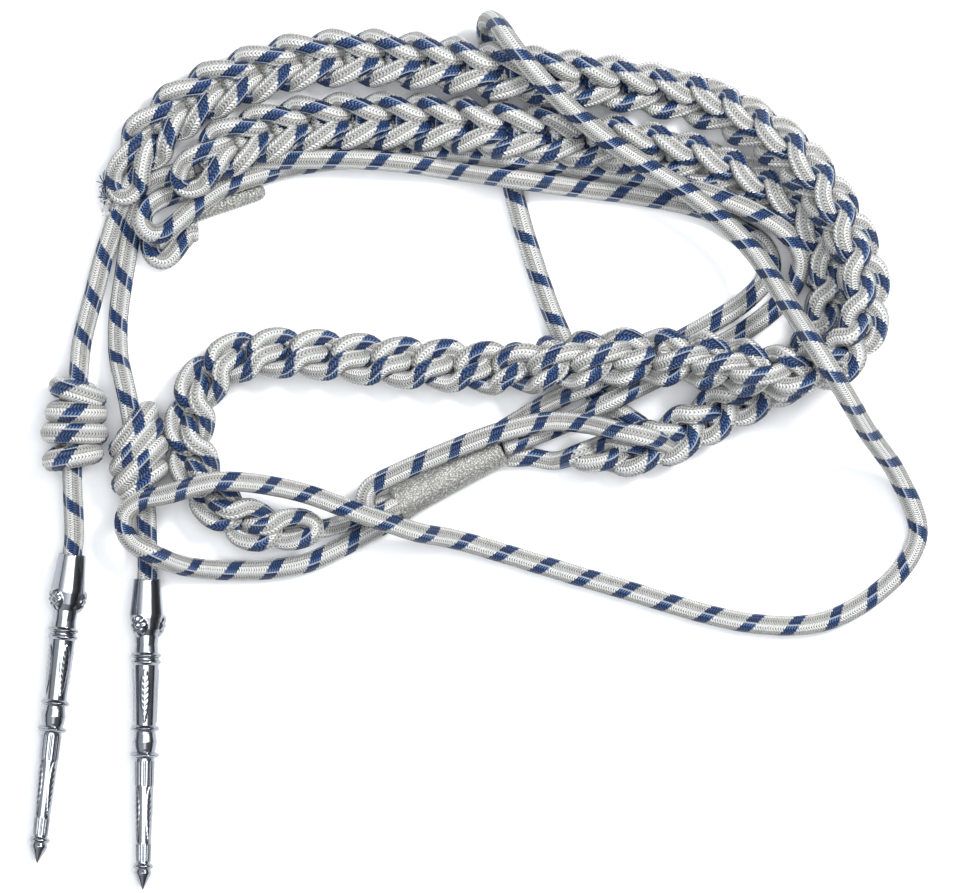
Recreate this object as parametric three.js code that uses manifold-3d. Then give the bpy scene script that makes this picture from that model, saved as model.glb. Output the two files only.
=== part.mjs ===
// Aiguillette: plaited and plain round cord with two metal tips, lying flat.
// Millimetres, +Z up, floor at z = 0, seen from above as it lies.
import * as THREE from 'three';
import { mergeVertices } from 'three/addons/utils/BufferGeometryUtils.js';
import Module from 'manifold-3d';

// Driving dimensions of the cord
const CORD = 6.0; // diameter of the plain round cord
const CORD_SIDES = 8;
const CORD_STEP = 3.0; // length of one facet along a plain cord, in cord diameters
const GAP = 0.3; // clearance between pieces that touch

// Driving dimensions of the plaits
const PLAIT_CORD = 4.0; // the cord inside a plait, pulled thin by its loops
const PLAIT_SIDES = 5;
const PLAIT_UNIT = 4.4; // scale of the loop across and up
const LONG_STITCHES = 45;
const LONG_SPLIT = 17; // stitch where the long plait changes node
const SHORT_STITCHES = 26;

// Driving dimensions of the wound knots
const KNOT_CORD = 5.2;
const KNOT_SIDES = 5;
const KNOT_TURNS = 4.4;
const KNOT_STEPS_PER_TURN = 8;
const KNOT_LENGTH = 21;

// Driving dimensions of the sleeve and the tongue
const SLEEVE_WIDTH = 10.6;
const SLEEVE_HEIGHT = 8.6;
const SLEEVE_FLAT = 0.55; // width of the sewn underside, as a share of the width
const TONGUE_LENGTH = 21;
const TONGUE_ROOT = 5.6;
const TONGUE_END = 3.4;
const TONGUE_HEIGHT = 3.0;

// Driving dimensions of the metal tips
const TIP_LENGTH = 87;
const TIP_WIDEST = 5.0;
const TIP_SIDES = 8;
const SOCKET_DEPTH = 9;
const SOCKET_BORE = (CORD / 2 + GAP) / Math.cos(Math.PI / TIP_SIDES);
const BOSS_RADIUS = 2.3;
const BOSS_RISE = 0.5; // how far a boss stands out, as a share of its radius

// One loop of the plait. along: stitches; across and up: plait units, up is the face with the Vs.
const STITCH = [
  { along: 0.00, across: -0.46, up: -0.40 },
  { along: 0.24, across: -0.50, up: 0.70 },
  { along: 0.80, across: -1.30, up: 0.85 },
  { along: 1.14, across: -1.50, up: -0.10 },
  { along: 1.54, across: -0.60, up: -0.25 },
  { along: 1.54, across: 0.60, up: -0.25 },
  { along: 1.14, across: 1.50, up: -0.10 },
  { along: 0.80, across: 1.30, up: 0.85 },
  { along: 0.24, across: 0.50, up: 0.70 },
  { along: 0.00, across: 0.46, up: -0.40 },
  { along: 0.24, across: 0.30, up: -1.25 },
  { along: 0.76, across: -0.30, up: -1.25 },
];

// Outline of a metal tip. at: share of its length from the mouth; radius: share of the widest.
const TIP_OUTLINE = [
  { at: 0.000, radius: 0.80 },
  { at: 0.115, radius: 1.00 },
  { at: 0.160, radius: 0.92 },
  { at: 0.213, radius: 0.68 },
  { at: 0.240, radius: 0.70 },
  { at: 0.245, radius: 0.87 },
  { at: 0.268, radius: 0.87 },
  { at: 0.274, radius: 0.75 },
  { at: 0.472, radius: 0.63 },
  { at: 0.476, radius: 0.83 },
  { at: 0.487, radius: 0.83 },
  { at: 0.491, radius: 0.60 },
  { at: 0.524, radius: 0.67 },
  { at: 0.556, radius: 0.60 },
  { at: 0.560, radius: 0.86 },
  { at: 0.571, radius: 0.86 },
  { at: 0.575, radius: 0.56 },
  { at: 0.915, radius: 0.42 },
  { at: 0.920, radius: 0.60 },
  { at: 0.930, radius: 0.60 },
  { at: 0.936, radius: 0.45 },
];
const TIP_RESTS_ON = [1, 15]; // rows of the outline that touch the floor
const BOSS_AT = 0.150;

// Where the stiff pieces lie: ends of their axes on the floor plane
const SLEEVE_FROM = [-25.2, -17.4];
const SLEEVE_TO = [5.6, -0.6];
const TONGUE_FROM = [-77.5, 64.2];
const TONGUE_TOWARDS = [-59, 71.4];
const TIP_LEFT = { mouth: [-114, -28.8], towards: [-124, -116.2] };
const TIP_RIGHT = { mouth: [-93.5, -36], towards: [-94.4, -123.5] };
const KNOT_LEFT = { from: [-113.3, 17.6], towards: [-115.2, -6] };
const KNOT_RIGHT = { from: [-98.4, 12.6], towards: [-94, -10.5] };

// Routes of the plaits: x, y, height of what lies under, roll in degrees.
// A roll of 0 has the Vs on top, 90 has them to the left of the way the plait runs.
const LONG_ROUTE = [
  [-46, -21.6, 0, 262], [-56, -22.9, 0, 270], [-68, -19.5, 0, 270], [-77.5, -9.5, 0, 270],
  [-80.7, 4, 0, 270], [-78, 16, 0, 270], [-70, 23.5, 0, 270], [-59, 25.5, 0, 270],
  [-44, 25, 0, 270], [-28, 23.5, 0, 262], [-11, 22.7, 0, 252], [5.6, 22.4, 1, 232],
  [19.6, 23.4, 9, 205], [33.6, 24.8, 12, 188], [50, 25, 10, 180], [68.6, 23.1, 14.4, 175],
  [78.4, 20.8, 17, 165], [88, 20, 17, 150], [97.4, 22.4, 16, 130], [104.5, 29.5, 16, 105],
  [107, 40, 16, 80], [104.8, 54, 15, 60], [98, 67.8, 14, 50], [88.4, 80.8, 12, 44],
  [76, 90.4, 5, 39], [63, 96.8, 0, 34], [45, 101, 1, 25], [22.4, 103.6, 6, 12],
  [7, 104.6, 9.5, 5], [-8, 106.6, 4, 0], [-30, 108.7, 0, 0], [-50, 107.8, 0, 0],
  [-66, 103.2, 0, 0], [-80.8, 96.3, 0.6, -5], [-91.3, 87.3, 0.3, -12], [-97.5, 77, 0, -20],
  [-100.3, 70.5, 0, -25],
];
const SHORT_ROUTE = [
  [28, -2.5, 0, 160], [41, -2.5, 0, 145], [54.6, 2.2, 0, 130], [68.5, 10.5, 0, 122],
  [80.8, 16.8, 0, 115], [89.6, 23.5, 0, 105], [95.5, 32.5, 0, 90], [97.5, 43, 0, 75],
  [95.5, 54, 0, 58], [88.3, 65.2, 0, 44], [74.4, 74.4, 0, 32], [58, 81, 0, 20],
  [40.3, 84.4, 0, 8], [26, 86.4, 2.2, 3], [11.2, 87.8, 6.9, 0], [4, 88.6, 6.9, 0], [-2.8, 89.6, 3.4, 0],
  [-18, 90.8, 0, 0], [-42, 90.8, 0, 0], [-59, 88.1, 0.8, 0], [-72, 82.8, 4, 0],
  [-78.4, 77.6, 6.2, -6], [-83.2, 73.2, 6.2, -10],
];

// Routes of the plain cords: x, y and the height of the cord's middle
const ARM_ROUTE = [
  [46.2, 5, 3], [30, 17, 3], [22.4, 32, 3], [16, 49, 3],
  [9.5, 71, 3], [4.8, 95.5, 3], [0.6, 113.4, 3.5], [-0.3, 118.2, 6.5],
  [0.8, 122.1, 12.5], [3.9, 119.8, 20], [8.7, 113.4, 26.5], [14, 107.2, 28.5],
  [23, 97.7, 25], [34.7, 87.6, 21], [47.5, 78.4, 19], [60, 70, 12.5],
  [75, 56, 13], [86, 39.8, 24], [95.5, 24.6, 36.8], [101, 16, 33],
  [108, 4.5, 14], [117, -8.4, 3], [122.6, -24, 3], [117, -35.5, 3],
  [98, -48.4, 3], [77, -49.6, 3], [33.6, -38, 3], [-7, -26, 5],
  [-17.4, -24, 11], [-32, -19.2, 16], [-52, -12.3, 16], [-72.8, -9.8, 22.2],
  [-87.4, -13.4, 17], [-98.6, -16.8, 12.5], [-99.6, -24.4, 12.5], [-92.4, -29.4, 13.6],
  [-80, -34, 5], [-51, -33.2, 3], [-30.6, -23.8, 3], [-24, -20.2, 3],
];
const DOUBLE_ROUTE = [
  [4.5, 3.4, 3], [18.2, 11.6, 5], [28.8, 16.4, 11.8], [35, 19, 8.5],
  [46, 24.6, 3.2], [62.4, 33.3, 3], [75, 42.5, 3], [80.2, 51.5, 3],
  [75, 57.2, 3], [61.5, 64, 3], [44.5, 68.5, 3], [26, 71.2, 3.5],
  [9.6, 73.2, 11.2], [-8, 75.6, 3.5], [-45, 76.5, 3], [-61, 74, 6.2],
  [-74, 70, 6.4], [-82, 65.2, 8], [-88, 60.2, 10.5], [-92.5, 59.8, 11],
  [-94.8, 64, 10.5], [-92, 68, 7.5], [-84, 71, 3.5], [-72.8, 76.2, 3],
  [-60, 80, 3], [-41.7, 81.8, 3], [-8, 81, 3.5], [8.4, 79.1, 12],
  [26, 76.3, 3.2], [41.7, 74, 3], [58.4, 70.2, 3], [74.6, 63, 3],
  [83, 55, 3], [86.2, 49.6, 3], [82, 40.6, 3], [68.8, 29.4, 3],
  [52, 20.4, 3.2], [37.5, 13.2, 9.9], [25, 7, 3.5], [6.5, -0.3, 8.5],
];
const JOINING_ROUTE = [
  [-25.6, -17.6, 8.6], [-30, -19.7, 9.7], [-34, -18, 9.4], [-35, -14.3, 9.4],
  [-32.2, -11, 9.4], [-27, -8.6, 9.6], [-20.4, -5.6, 9.9], [-9.8, -1.3, 10.8],
  [1.1, 2.6, 13.6], [9, 5, 14], [19.9, 7, 11.5], [30.5, 6.2, 12.3],
  [38, 4.4, 17.2], [44.8, 3, 20.2],
];
// Short stretches that join the plaits to the sleeve, and a small bight at the chest end
const LONG_LEAD_ROUTE = [
  [-44.5, -24, 3], [-38, -21, 3], [-32.9, -18, 3], [-27.3, -15.3, 3],
];
const SHORT_LEAD_ROUTE = [
  [8, -3.6, 3], [14.3, -2.6, 3], [20, -2.4, 3],
];
const CHEST_BIGHT_ROUTE = [
  [-88.9, 56.8, 3], [-88.2, 53.2, 3], [-86.6, 52.2, 3], [-83.8, 54.8, 3],
  [-81.6, 58.2, 3], [-78.6, 58, 3], [-76.4, 60.2, 3],
];
// The tip cords run straight through their knot and end in the socket of their tip.
const TIP_CORD_LEFT_ROUTE = [
  [-101.2, 64.8, 3], [-103, 60, 3], [-105.4, 52.9, 3], [-107.6, 44.2, 3],
  [-109.8, 36, 3], [-111.6, 28, 4.8],
];
const TIP_CORD_RIGHT_ROUTE = [
  [-91.4, 63.6, 3], [-94, 61, 3], [-96.6, 57, 3], [-98.8, 50.5, 3],
  [-100.8, 40, 3], [-101.4, 31.9, 3], [-101, 24.5, 4.6],
];

const wasm = await Module();
wasm.setup();

const part = new THREE.Group();
const FLAT_GAP = 0.05; // a plain cord's facets stay this far off the floor

const cordFinish = { color: 0xdadbd4, roughness: 0.42, metalness: 0.0 };
const steelFinish = { color: 0xb9bcc2, roughness: 0.18, metalness: 1.0 };
const bullionFinish = { color: 0xaeb0ad, roughness: 0.45, metalness: 0.6 };

function place(name, geometry, finish) {
  const mesh = new THREE.Mesh(geometry, new THREE.MeshStandardMaterial(finish));
  mesh.name = name;
  part.add(mesh);
  return mesh;
}

function polygon(radius, sides) {
  const shape = new THREE.Shape();
  for (let i = 0; i < sides; i += 1) {
    const turn = (i / sides) * 2 * Math.PI;
    const x = radius * Math.cos(turn);
    const y = radius * Math.sin(turn);
    if (i === 0) shape.moveTo(x, y);
    else shape.lineTo(x, y);
  }
  shape.closePath();
  return shape;
}

function tube(path, radius, sides, steps) {
  return new THREE.ExtrudeGeometry(polygon(radius, sides), {
    steps,
    bevelEnabled: false,
    extrudePath: path,
  });
}

// A plain cord never sinks into the floor between the points of its route.
class CordPath extends THREE.CatmullRomCurve3 {
  constructor(route) {
    super(route.map(([x, y, z]) => new THREE.Vector3(x, y, z)), false, 'centripetal');
  }

  getPoint(t, target) {
    const point = super.getPoint(t, target);
    point.z = Math.max(point.z, CORD / 2 + FLAT_GAP);
    return point;
  }
}

function plainCord(name, route) {
  const path = new CordPath(route);
  const steps = Math.round(path.getLength() / (CORD_STEP * CORD));
  return place(name, tube(path, CORD / 2, CORD_SIDES, Math.max(steps, 2)), cordFinish);
}

// Height of the plait's middle over what carries it, at one roll
function restHeight(roll) {
  const heights = STITCH.map((row) => row.up * Math.cos(roll) - row.across * Math.sin(roll));
  return -Math.min(...heights) * PLAIT_UNIT + PLAIT_CORD / 2 + GAP;
}

// One ring of the tube falls on each row of the stitch table.
class PlaitPath extends THREE.Curve {
  constructor(route, stitches, first, last) {
    super();
    this.rolls = route.map((row) => THREE.MathUtils.degToRad(row[3]));
    const middles = route.map(
      ([x, y, over], i) => new THREE.Vector3(x, y, over + restHeight(this.rolls[i])),
    );
    this.line = new THREE.CatmullRomCurve3(middles, false, 'centripetal');
    this.line.arcLengthDivisions = 1000;
    this.pitch = this.line.getLength() / (stitches + 0.5);
    this.rows = [];
    for (let stitch = first; stitch < last; stitch += 1) {
      STITCH.forEach((row) => this.rows.push(this.rowPoint(stitch, row)));
    }
    this.steps = this.rows.length - 1;
    this.smooth = new THREE.CatmullRomCurve3(this.rows, false, 'centripetal');
  }

  rowPoint(stitch, row) {
    const length = this.line.getLength();
    const u = THREE.MathUtils.clamp(((stitch + row.along) * this.pitch) / length, 0, 1);
    const t = this.line.getUtoTmapping(u);
    const middle = this.line.getPoint(t);
    const ahead = this.line.getTangent(t);
    const place01 = t * (this.rolls.length - 1);
    const before = Math.min(Math.floor(place01), this.rolls.length - 2);
    const roll = THREE.MathUtils.lerp(this.rolls[before], this.rolls[before + 1], place01 - before);
    const level = new THREE.Vector3(0, 0, 1).addScaledVector(ahead, -ahead.z).normalize();
    const left = new THREE.Vector3().crossVectors(level, ahead);
    const up = level.clone().multiplyScalar(Math.cos(roll)).addScaledVector(left, Math.sin(roll));
    const across = new THREE.Vector3().crossVectors(up, ahead);
    return middle
      .addScaledVector(across, row.across * PLAIT_UNIT)
      .addScaledVector(up, row.up * PLAIT_UNIT);
  }

  getPoint(t, target = new THREE.Vector3()) {
    return target.copy(this.smooth.getPoint(t));
  }

  getPointAt(u, target) {
    return this.getPoint(u, target);
  }

  getTangentAt(u, target) {
    return this.getTangent(u, target);
  }
}

function plait(name, route, stitches, first, last) {
  const path = new PlaitPath(route, stitches, first, last);
  return place(name, tube(path, PLAIT_CORD / 2, PLAIT_SIDES, path.steps), cordFinish);
}

// A piece whose own +Z runs along its axis, laid along a line on the plan
function layAlong(mesh, from, towards, height, slope = 0) {
  const heading = Math.atan2(towards[1] - from[1], towards[0] - from[0]);
  mesh.position.set(from[0], from[1], height);
  mesh.rotation.set(0, Math.PI / 2 + slope, heading, 'ZYX');
  return mesh;
}

function planLength(from, towards) {
  return Math.hypot(towards[0] - from[0], towards[1] - from[1]);
}

// Round knot: the cord wound about itself. Its middle runs along +Z of its own frame.
class CoilPath extends THREE.Curve {
  getPoint(t, target = new THREE.Vector3()) {
    const radius = CORD / 2 + GAP + KNOT_CORD / 2;
    const turn = t * KNOT_TURNS * 2 * Math.PI;
    const along = KNOT_CORD / 2 + t * (KNOT_LENGTH - KNOT_CORD);
    return target.set(radius * Math.cos(turn), radius * Math.sin(turn), along);
  }
}

const KNOT_AXIS_HEIGHT = CORD / 2 + GAP + KNOT_CORD;

function woundKnot(name, spot) {
  const steps = Math.round(KNOT_TURNS * KNOT_STEPS_PER_TURN);
  const mesh = place(name, tube(new CoilPath(), KNOT_CORD / 2, KNOT_SIDES, steps), cordFinish);
  return layAlong(mesh, spot.from, spot.towards, KNOT_AXIS_HEIGHT);
}

// Slope and height of a tip that lies on two of its rings
function tipLie() {
  const [near, far] = TIP_RESTS_ON.map((row) => TIP_OUTLINE[row]);
  const run = (far.at - near.at) * TIP_LENGTH;
  const slope = Math.atan2((near.radius - far.radius) * TIP_WIDEST, run);
  const height = near.radius * TIP_WIDEST + near.at * TIP_LENGTH * Math.tan(slope);
  return { slope, height };
}

function asSolid(geometry) {
  const plain = geometry.clone();
  plain.deleteAttribute('normal');
  plain.deleteAttribute('uv');
  const merged = mergeVertices(plain);
  return new wasm.Manifold(new wasm.Mesh({
    numProp: 3,
    vertProperties: new Float32Array(merged.attributes.position.array),
    triVerts: new Uint32Array(merged.index.array),
  }));
}

function asGeometry(solid) {
  const mesh = solid.getMesh();
  const geometry = new THREE.BufferGeometry();
  geometry.setAttribute('position', new THREE.BufferAttribute(mesh.vertProperties, 3));
  geometry.setIndex(new THREE.BufferAttribute(mesh.triVerts, 1));
  return geometry;
}

function tipSolid() {
  const outline = TIP_OUTLINE.map(
    (row) => new THREE.Vector2(row.radius * TIP_WIDEST, row.at * TIP_LENGTH),
  );
  const profile = [
    new THREE.Vector2(0, SOCKET_DEPTH),
    new THREE.Vector2(SOCKET_BORE, SOCKET_DEPTH),
    new THREE.Vector2(SOCKET_BORE, 0),
    ...outline,
    new THREE.Vector2(0, TIP_LENGTH),
  ];
  const body = new THREE.LatheGeometry(profile, TIP_SIDES);
  body.rotateX(Math.PI / 2);
  let solid = asSolid(body);
  for (const side of [-1, 1]) {
    const boss = new THREE.SphereGeometry(BOSS_RADIUS, 6, 4);
    boss.scale(1, BOSS_RISE, 1);
    const out = TIP_WIDEST * 0.93;
    boss.translate(0, side * out, BOSS_AT * TIP_LENGTH);
    solid = solid.add(asSolid(boss));
  }
  return asGeometry(solid);
}

function metalTip(name, spot) {
  const lie = tipLie();
  const mesh = place(name, tipSolid(), steelFinish);
  return layAlong(mesh, spot.mouth, spot.towards, lie.height, lie.slope);
}

// Points of a tip cord from its knot down into the socket
function tipCordEnd(knot, tip) {
  const lie = tipLie();
  const knotWay = new THREE.Vector2(...knot.towards).sub(new THREE.Vector2(...knot.from));
  knotWay.normalize();
  const through = [-2.5, KNOT_LENGTH * 0.5, KNOT_LENGTH + 2.5].map((along) => [
    knot.from[0] + knotWay.x * along,
    knot.from[1] + knotWay.y * along,
    KNOT_AXIS_HEIGHT,
  ]);
  const tipWay = new THREE.Vector2(...tip.towards).sub(new THREE.Vector2(...tip.mouth));
  tipWay.normalize();
  const inSocket = [-5, 0, SOCKET_DEPTH - 2 * GAP].map((along) => [
    tip.mouth[0] + tipWay.x * along,
    tip.mouth[1] + tipWay.y * along,
    lie.height - along * Math.tan(lie.slope),
  ]);
  return [...through, ...inSocket];
}

// Oval sleeve with a flat underside, wound over the cords it holds
function sleeveSolid() {
  const shape = new THREE.Shape();
  const half = SLEEVE_WIDTH / 2;
  const flat = half * SLEEVE_FLAT;
  const middle = SLEEVE_HEIGHT / 2;
  shape.moveTo(-flat, 0);
  shape.lineTo(flat, 0);
  const arcSteps = 9;
  for (let i = 0; i <= arcSteps; i += 1) {
    const turn = THREE.MathUtils.degToRad(-35 + (250 * i) / arcSteps);
    shape.lineTo(half * Math.cos(turn), middle + middle * Math.sin(turn));
  }
  shape.closePath();
  const length = planLength(SLEEVE_FROM, SLEEVE_TO);
  const geometry = new THREE.ExtrudeGeometry(shape, { depth: length, bevelEnabled: false });
  return geometry;
}

// Tapering tongue with a rounded end and a flat underside
function tongueSolid() {
  const shape = new THREE.Shape();
  shape.moveTo(0, -TONGUE_ROOT / 2);
  shape.lineTo(TONGUE_LENGTH - TONGUE_END / 2, -TONGUE_END / 2);
  shape.absarc(TONGUE_LENGTH - TONGUE_END / 2, 0, TONGUE_END / 2, -Math.PI / 2, Math.PI / 2, false);
  shape.lineTo(0, TONGUE_ROOT / 2);
  shape.closePath();
  return new THREE.ExtrudeGeometry(shape, {
    depth: TONGUE_HEIGHT,
    bevelEnabled: false,
    curveSegments: 6,
  });
}

plait('long_plait_lower', LONG_ROUTE, LONG_STITCHES, 0, LONG_SPLIT);
plait('long_plait_upper', LONG_ROUTE, LONG_STITCHES, LONG_SPLIT, LONG_STITCHES);
plait('short_plait', SHORT_ROUTE, SHORT_STITCHES, 0, SHORT_STITCHES);

plainCord('arm_loop_cord', ARM_ROUTE);
plainCord('double_cord', DOUBLE_ROUTE);
plainCord('joining_cord', JOINING_ROUTE);
plainCord('long_plait_lead', LONG_LEAD_ROUTE);
plainCord('short_plait_lead', SHORT_LEAD_ROUTE);
plainCord('chest_bight', CHEST_BIGHT_ROUTE);
plainCord('tip_cord_left', [...TIP_CORD_LEFT_ROUTE, ...tipCordEnd(KNOT_LEFT, TIP_LEFT)]);
plainCord('tip_cord_right', [...TIP_CORD_RIGHT_ROUTE, ...tipCordEnd(KNOT_RIGHT, TIP_RIGHT)]);

woundKnot('tip_knot_left', KNOT_LEFT);
woundKnot('tip_knot_right', KNOT_RIGHT);
metalTip('tip_left', TIP_LEFT);
metalTip('tip_right', TIP_RIGHT);

const sleeve = place('binding_sleeve', sleeveSolid(), bullionFinish);
const sleeveHeading = Math.atan2(SLEEVE_TO[1] - SLEEVE_FROM[1], SLEEVE_TO[0] - SLEEVE_FROM[0]);
sleeve.position.set(SLEEVE_FROM[0], SLEEVE_FROM[1], 0);
sleeve.rotation.set(Math.PI / 2, Math.PI / 2 + sleeveHeading, 0, 'XYZ');

const tongue = place('binding_tongue', tongueSolid(), bullionFinish);
const tongueHeading = Math.atan2(
  TONGUE_TOWARDS[1] - TONGUE_FROM[1],
  TONGUE_TOWARDS[0] - TONGUE_FROM[0],
);
tongue.position.set(TONGUE_FROM[0], TONGUE_FROM[1], 0);
tongue.rotation.z = tongueHeading;

// The row's origin is the middle of the sleeve's sewn underside.
part.position.set(
  -(SLEEVE_FROM[0] + SLEEVE_TO[0]) / 2,
  -(SLEEVE_FROM[1] + SLEEVE_TO[1]) / 2,
  0,
);

export default part;
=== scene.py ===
"""The looks of an aiguillette that lies flat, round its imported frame. Metres, +Z up, seen from above."""

import math

import bpy
import numpy as np
from mathutils import Matrix, Vector


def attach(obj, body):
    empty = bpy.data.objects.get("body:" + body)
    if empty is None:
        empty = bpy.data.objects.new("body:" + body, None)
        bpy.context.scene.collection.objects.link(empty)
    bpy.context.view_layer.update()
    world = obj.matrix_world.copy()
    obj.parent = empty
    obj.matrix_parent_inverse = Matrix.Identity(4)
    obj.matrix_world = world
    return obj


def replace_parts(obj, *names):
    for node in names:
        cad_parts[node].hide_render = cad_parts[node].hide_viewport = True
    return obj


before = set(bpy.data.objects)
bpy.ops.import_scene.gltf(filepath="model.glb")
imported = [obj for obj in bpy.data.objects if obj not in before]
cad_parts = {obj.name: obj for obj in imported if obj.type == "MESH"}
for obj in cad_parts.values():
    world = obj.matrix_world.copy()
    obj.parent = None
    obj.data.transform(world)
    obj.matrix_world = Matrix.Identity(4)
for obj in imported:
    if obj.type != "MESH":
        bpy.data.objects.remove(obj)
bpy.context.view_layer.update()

# Camera: straight above the photograph's middle
PHOTO_MIDDLE = (0.0098, 0.0090)  # in the row frame, whose origin is under the sleeve
FRAME_WIDTH = 0.2688  # what the photograph's width shows
CAMERA_LENS = 960.0
CAMERA_SENSOR = 36.0
CAMERA_CLIP = 20.0

# Cord
CORD = 0.0056  # diameter
ROUTE_CORD = 0.0060  # the cord for which the routes' heights are given
LANES = 8  # braided lanes round the cord, each a herringbone of two rows of yarn
LANE_POINTS = 4  # points of the section in one lane
LANE_GROOVES = [0.075, 0.0, 0.03, 0.0]  # how deep each of these points lies, as a share of the radius
MARK_PITCH = 0.0120  # along the cord, from one blue mark of a lane to the next
MARK_SHIFT = 0.0625  # of a pitch, from one row's mark to its neighbour's, with two rows in a lane
MARK_SLANT = 0.030  # of a pitch, by which a mark leans inside its own row
MARK_LENGTH = 0.30  # of a pitch
MARK_EDGE = 0.025  # of a pitch, over which a mark fades
YARNS = 17.0  # in a pitch
YARN_LEAN = 0.75  # of a yarn's own width, between its lane's middle and edge
YARN_BUMP = 0.00026
RING_STEP = 0.0013  # along the cord, between two rings of its mesh
END_TAPER = 0.82  # radius of a cord's first and last ring, as a share of its own
FLOOR_GAP = 0.0002
LINE_GAP = 0.00005  # what a resting cord's middle line is above the surface, past the cord's radius

# Lines
NO_LENGTH = 1e-9  # taken for a length of nothing, so that it can divide
UPRIGHT = 1e-3  # sine of the angle from straight up, below which a line counts as upright

# Plaits
PLAIT_CORD = 0.0052
PLAIT_UNIT = 0.0038
END_LOOP = 0.72  # how large a plait's last loop is beside the others
LONG_STITCHES = 45
LONG_SPLIT = 17
SHORT_STITCHES = 26
MARKS_PER_STITCH = 5.06
PAST_STITCHES = 0.5  # how far a plait reaches past its last stitch, in stitches
LEAD_STITCH = 0.2  # stitches counted for each point of a plain lead
LOOP_SAMPLES = 12  # of the cord's line, between two points of a loop

# One loop of a plait. along is in stitches, across and up in plait units, and up is the face with the Vs.
STITCH_ALONG = [0.00, 0.24, 0.80, 1.14, 1.54, 1.54, 1.14, 0.80, 0.24, 0.00, 0.24, 0.76]
STITCH_ACROSS = [-0.46, -0.50, -1.30, -1.50, -0.60, 0.60, 1.50, 1.30, 0.50, 0.46, 0.30, -0.30]
STITCH_UP = [-0.40, 0.70, 0.85, -0.10, -0.25, -0.25, -0.10, 0.85, 0.70, -0.40, -1.25, -1.25]

# Loose threads at the long plait's chest end. Either tuft has its root, the degrees between which its threads
# point, and their number.
FRAY_BLUE = [(-0.1040, 0.0716), (95.0, 255.0), 40]
FRAY_PALE = [(-0.1030, 0.0672), (125.0, 262.0), 34]
FRAY_HEIGHT = 0.0052
FRAY_LENGTH = 0.0044
FRAY_SHORTEST = 0.30  # of that length
FRAY_RATIOS = (0.618, 0.377)  # these scatter the threads' directions and lengths
FRAY_SPREAD = (0.0010, 0.0022, 0.0010)  # of the threads' roots
FRAY_BEND = 0.9  # along a thread at most, in radians
FRAY_LIFT = 0.35  # slope at a thread's root at most
FRAY_DROOP = 0.12  # slope lost at each step along a thread
FRAY_WAVES = (2.1, 2.1, 3.3, 2.4, 1.7)  # radians a thread, for the root's x, y and z, the bend and the lift
FRAY_STEPS = 6
FRAY_SIDES = 5
THREAD = 0.00036

# Light: radiance of the sky's parts, and their edges as places in the unit sky
SKY_BOX = 5.4
SKY_BOX_EDGE = (0.90, 0.95)
SKY_WEST = 0.75
SKY_EAST = 0.20
SKY_SIDES_EDGE = (-0.45, 0.30)
SKY_LOW = 0.15  # of the sides' radiance, near the horizon
SKY_LOW_EDGE = (0.30, 0.45)
SKY_HORIZON = 0.5
SKY_HORIZON_EDGE = (0.02, 0.07)
SKY_COLOUR = (0.97, 0.985, 1.0, 1)
KEY_POWER = 36.0
KEY_SIZE = 0.5
KEY_AT = (0.9, 0.7, 1.6)
FLOOR_HALF = 3.0

# Colours
WHITE_YARN = (0.78, 0.78, 0.765, 1)
# Painted shade: every other lane is painted towards this grey, which also tints the yarn's own random flecks
GREY_AND_SHADED_YARN = (0.22, 0.216, 0.205, 1)
# Painted shade in the hollows between yarns, on the white and on the blue
HOLLOW_SHADE = (0.04, 0.038, 0.035, 1)
BLUE_HOLLOW_SHADE = (0.002, 0.004, 0.020, 1)
BLUE_YARN = (0.018, 0.058, 0.185, 1)
# Painted highlight on one half of each lane in the blue marks
BLUE_SHEEN = (0.110, 0.205, 0.39, 1)
# Painted shade of the blue marks in every other lane
BLUE_SHADED = (0.004, 0.009, 0.036, 1)
# Painted shade in the grooves between lanes, on the white and on the blue
GROOVE_SHADE = (0.10, 0.10, 0.10, 1)
GROOVE_SHADE_BLUE = (0.003, 0.006, 0.03, 1)
PARTING_YARN = (0.54, 0.555, 0.57, 1)
BLUE_THREAD = [(0.003, 0.006, 0.026, 1), (0.02, 0.045, 0.13, 1)]
PALE_THREAD = [(0.30, 0.30, 0.30, 1), (0.62, 0.62, 0.61, 1)]
STEEL = (0.30, 0.315, 0.35, 1)
BULLION_DULL = [(0.13, 0.13, 0.12, 1), (0.27, 0.27, 0.245, 1)]
BULLION_BRIGHT = (0.62, 0.62, 0.595, 1)
PAPER = (0.86, 0.87, 0.885, 1)

# Surfaces. A pair named _AT holds the values between which something fades in or out.
LANE_EDGE_AT = (0.84, 1.0)  # of half a lane, from its middle
LANE_MIDDLE_AT = (0.05, 0.40)
HOLLOW_AT = (0.05, 0.60)  # of a yarn's height
BLUE_HOLLOW_AT = (0.05, 0.75)
SHEEN_YARN_AT = (0.2, 0.8)
SHEEN_LANE_AT = (0.45, 0.6)  # of a lane's width
PARTING_AT = (0.03, 0.065)  # of two lanes, from where they part
HOLLOW_MIDDLE = 0.60  # painted shade: how much darker the hollows between yarns are painted, in a lane's middle
HOLLOW_EVERYWHERE = 0.32
MARK_RAGGED = 0.02  # of a pitch, by which a yarn shifts a mark's edge
FLECKS_ALONG = 5.0
FLECK_SCALE = 1.6
FLECK_WEAR = 0.35
# How much every other lane's white yarn is painted greyer, as shade
LANE_SHADE_WHITE = 0.5
SHEEN_SHARE = 0.8
# How much every other lane's blue is painted darker, as shade
LANE_SHADE_BLUE = 0.55
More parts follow.
